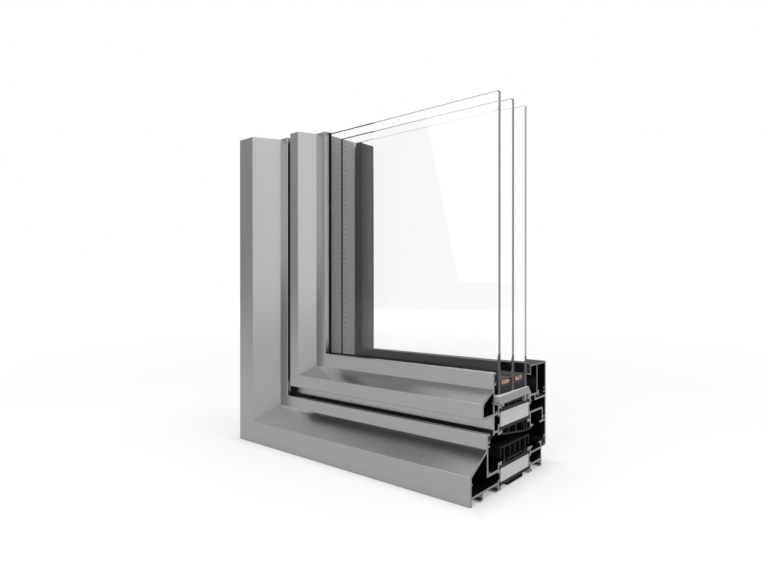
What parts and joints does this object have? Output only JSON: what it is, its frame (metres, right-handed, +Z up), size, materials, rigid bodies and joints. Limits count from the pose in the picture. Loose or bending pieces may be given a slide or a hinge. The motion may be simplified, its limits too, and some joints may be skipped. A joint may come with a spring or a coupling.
{
  "type": "aluminium window corner sample",
  "caption": "Lower corner sample of a thermally broken aluminium window: mitred frame and stepped sash with foam-filled insulating zone, gaskets and glazing, cut to show the section.",
  "frame": {"origin": "middle of the bounding box's bottom face, on the plane of the frame's feet", "axes": "+Z up along the jamb, -Y towards the outside of the building, +X from the corner along the bottom rail"},
  "size_m": [0.2438, 0.114, 0.27],
  "materials": {
    "profile_aluminium": "satin light grey coating, bare saw cuts",
    "mill_aluminium": "mill finish",
    "polyamide": "matt, glass-fibre filled",
    "gasket_rubber": "matt black",
    "foam": "fine closed cells, light grey",
    "block_plastic": "moulded, light grey",
    "glass": "clear float glass with ground edges",
    "spacer": "satin dark grey",
    "desiccant": "tan granules",
    "edge_seal": "dark grey sealant"
  },
  "bodies": {
    "root": {"frame_outer_profile_bottom": "profile_aluminium", "frame_outer_profile_left": "profile_aluminium", "frame_inner_profile_bottom": "profile_aluminium", "frame_inner_profile_left": "profile_aluminium", "sash_outer_profile_bottom": "profile_aluminium", "sash_outer_profile_left": "profile_aluminium", "sash_inner_profile_bottom": "profile_aluminium", "sash_inner_profile_left": "profile_aluminium", "glazing_bead_bottom": "profile_aluminium", "glazing_bead_left": "profile_aluminium", "frame_lower_strip_bottom": "polyamide", "frame_lower_strip_left": "polyamide", "frame_upper_strip_bottom": "polyamide", "frame_upper_strip_left": "polyamide", "sash_lower_strip_bottom": "polyamide", "sash_lower_strip_left": "polyamide", "sash_upper_strip_bottom": "polyamide", "sash_upper_strip_left": "polyamide", "frame_foam_bottom": "foam", "frame_foam_left": "foam", "sash_foam_bottom": "foam", "sash_foam_left": "foam", "comb_gasket_bottom": "gasket_rubber", "comb_gasket_left": "gasket_rubber", "rebate_gasket_bottom": "gasket_rubber", "rebate_gasket_left": "gasket_rubber", "stop_gasket_bottom": "gasket_rubber", "stop_gasket_left": "gasket_rubber", "outer_glazing_gasket_bottom": "gasket_rubber", "outer_glazing_gasket_left": "gasket_rubber", "inner_glazing_gasket_bottom": "gasket_rubber", "inner_glazing_gasket_left": "gasket_rubber", "spacer_bars_bottom": "spacer", "spacer_bars_left": "spacer", "desiccant_bottom": "desiccant", "desiccant_left": "desiccant", "edge_seal_bottom": "edge_seal", "edge_seal_left": "edge_seal", "outer_pane": "glass", "middle_pane": "glass", "inner_pane": "glass", "glazing_block": "block_plastic", "frame_corner_cleats": "mill_aluminium", "sash_corner_cleats": "mill_aluminium"}
  },
  "joints": []
}
